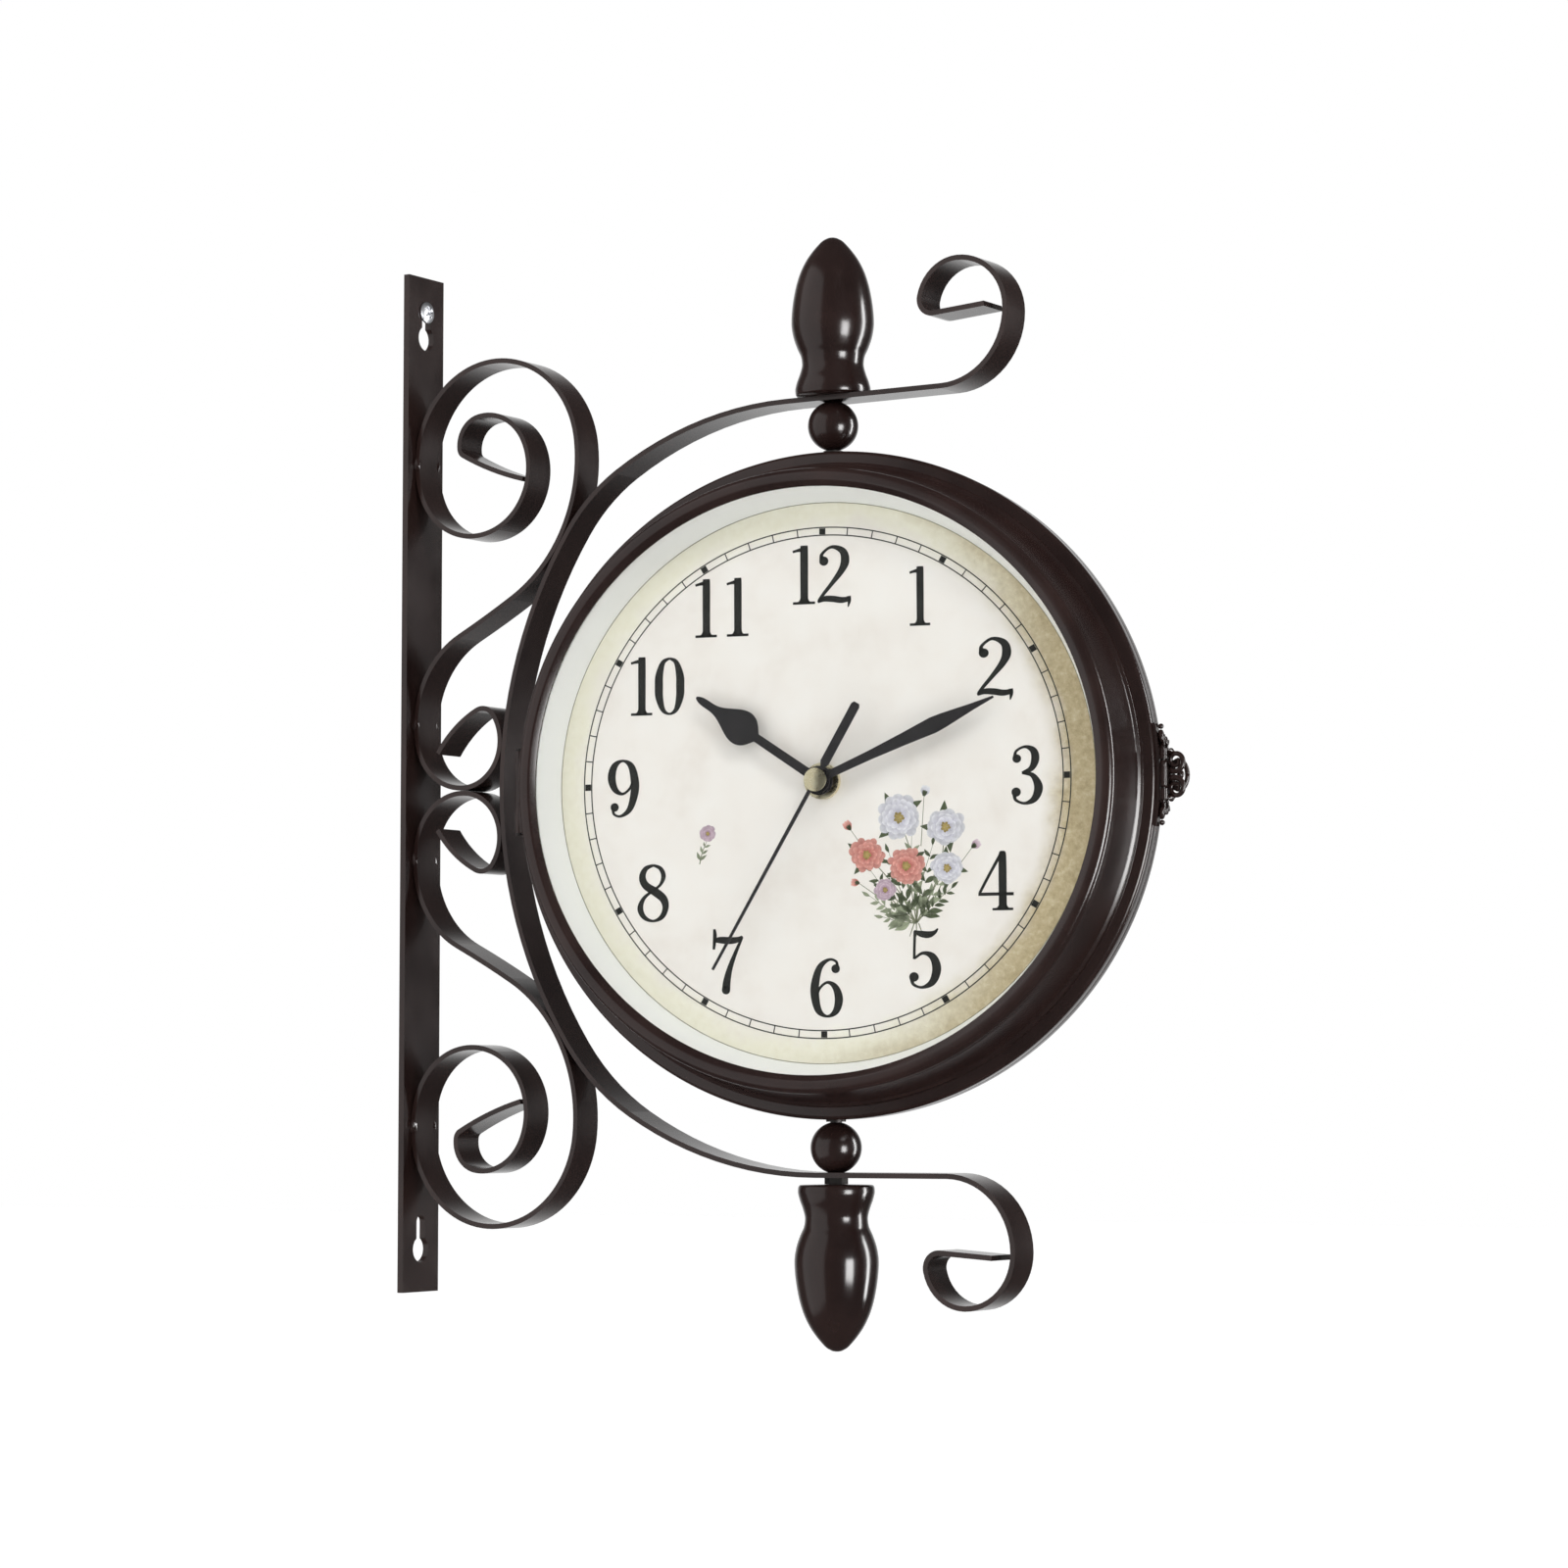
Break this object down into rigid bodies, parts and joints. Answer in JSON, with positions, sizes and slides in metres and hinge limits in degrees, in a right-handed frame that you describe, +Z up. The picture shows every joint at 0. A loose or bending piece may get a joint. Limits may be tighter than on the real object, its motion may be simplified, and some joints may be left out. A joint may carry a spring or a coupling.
{
  "type": "double sided station clock",
  "caption": "Wall bracket clock with a dial on both sides, hung in a scrolled flat bar hoop so that the head turns; the front half opens on a hinge for setting.",
  "frame": {"origin": "centre of the wall plate's back face", "axes": "+X out from the wall, +Z up, the front dial faces -Y (turned 13.4 degrees towards +X at rest)"},
  "size_m": [0.3004, 0.1044, 0.3885],
  "materials": {
    "dark_enamel": "semi gloss brown black enamel",
    "dark_steel": "blackened steel",
    "bare_steel": "zinc plated",
    "steel_arbor": "ground",
    "glass": "clear flat glass",
    "white_plastic": "satin white",
    "dial_print": "printed cream dial, matt",
    "hand_black": "matt black lacquer",
    "brass": "polished",
    "black_plastic": "moulded, fine grain",
    "rubber": "matt",
    "battery_wrap": "plain film sleeve"
  },
  "bodies": {
    "bracket": {"wall_plate": "dark_enamel", "upper_scroll": "dark_enamel", "lower_scroll": "dark_enamel", "hoop_bar": "dark_enamel", "upper_finial": "dark_enamel", "lower_finial": "dark_enamel", "upper_rod": "dark_steel", "lower_rod": "dark_steel", "upper_ball": "dark_enamel", "lower_ball": "dark_enamel", "lower_jam_nut": "dark_steel", "pivot_nuts": "dark_steel", "pivot_washers": "dark_steel"},
    "head": {"rear_shell": "dark_enamel", "carrier_ring": "bare_steel", "pivot_bushes": "dark_steel", "rear_glass": "glass", "rear_inner_ring": "white_plastic", "rear_dial": "dial_print", "rear_dial_tabs": "bare_steel", "rear_movement": "black_plastic", "rear_movement_lid": "black_plastic", "rear_gasket": "rubber", "rear_collar_nut": "brass", "rear_battery": "battery_wrap", "rear_contacts": "bare_steel", "rear_hinge_leaf": "dark_enamel", "hinge_pin": "dark_steel", "hasp_catch": "dark_enamel"},
    "front_door": {"front_shell": "dark_enamel", "front_glass": "glass", "front_inner_ring": "white_plastic", "front_dial": "dial_print", "front_dial_tabs": "bare_steel", "front_movement": "black_plastic", "front_movement_lid": "black_plastic", "front_gasket": "rubber", "front_collar_nut": "brass", "front_battery": "battery_wrap", "front_contacts": "bare_steel", "front_hinge_leaf": "dark_enamel", "hasp_plate": "dark_enamel", "hasp_pin": "dark_steel"},
    "hasp_flap": {"hasp": "dark_enamel"},
    "front_hour": {"front_hour_pipe": "brass", "front_hour_hand": "hand_black"},
    "front_minute": {"front_minute_arbor": "brass", "front_minute_hand": "hand_black"},
    "front_second": {"front_second_staff": "steel_arbor", "front_second_hand": "hand_black", "front_hand_cap": "brass"},
    "front_setter": {"front_set_knob": "black_plastic"},
    "rear_hour": {"rear_hour_pipe": "brass", "rear_hour_hand": "hand_black"},
    "rear_minute": {"rear_minute_arbor": "brass", "rear_minute_hand": "hand_black"},
    "rear_second": {"rear_second_staff": "steel_arbor", "rear_second_hand": "hand_black", "rear_hand_cap": "brass"},
    "rear_setter": {"rear_set_knob": "black_plastic"}
  },
  "joints": [
    {"name": "head_swivel", "type": "hinge", "parent": "bracket", "child": "head", "pos_m": [0.179, 0, -0.009], "axis": [0, 0, 1], "continuous": true},
    {"name": "front_door_hinge", "type": "hinge", "parent": "head", "child": "front_door", "pos_m": [0.06519, -0.02711, -0.009], "axis": [0, 0, -1], "range_deg": [0, 105]},
    {"name": "hasp_hinge", "type": "hinge", "parent": "front_door", "child": "hasp_flap", "pos_m": [0.29461, 0.0224, -0.009], "axis": [0, 0, -1], "range_deg": [0, 110]},
    {"name": "front_minute_turn", "type": "hinge", "parent": "front_door", "child": "front_minute", "pos_m": [0.179, 0, -0.009], "axis": [-0.2317, 0.9728, 0], "continuous": true},
    {"name": "front_hour_turn", "type": "hinge", "parent": "front_door", "child": "front_hour", "pos_m": [0.179, 0, -0.009], "axis": [-0.2317, 0.9728, 0], "continuous": true},
    {"name": "front_second_turn", "type": "hinge", "parent": "front_door", "child": "front_second", "pos_m": [0.179, 0, -0.009], "axis": [-0.2317, 0.9728, 0], "continuous": true},
    {"name": "front_set_knob_turn", "type": "hinge", "parent": "front_door", "child": "front_setter", "pos_m": [0.16538, -0.00324, -0.009], "axis": [-0.2317, 0.9728, 0], "continuous": true},
    {"name": "rear_minute_turn", "type": "hinge", "parent": "head", "child": "rear_minute", "pos_m": [0.179, 0, -0.009], "axis": [0.2317, -0.9728, 0], "continuous": true},
    {"name": "rear_hour_turn", "type": "hinge", "parent": "head", "child": "rear_hour", "pos_m": [0.179, 0, -0.009], "axis": [0.2317, -0.9728, 0], "continuous": true},
    {"name": "rear_second_turn", "type": "hinge", "parent": "head", "child": "rear_second", "pos_m": [0.179, 0, -0.009], "axis": [0.2317, -0.9728, 0], "continuous": true},
    {"name": "rear_set_knob_turn", "type": "hinge", "parent": "head", "child": "rear_setter", "pos_m": [0.16538, -0.00324, -0.009], "axis": [0.2317, -0.9728, 0], "continuous": true}
  ],
  "couplings": [
    {"joint": "front_hour_turn", "follows": "front_minute_turn", "ratio": 0.083333},
    {"joint": "front_set_knob_turn", "follows": "front_minute_turn", "ratio": -1},
    {"joint": "rear_hour_turn", "follows": "rear_minute_turn", "ratio": 0.083333},
    {"joint": "rear_set_knob_turn", "follows": "rear_minute_turn", "ratio": -1}
  ]
}
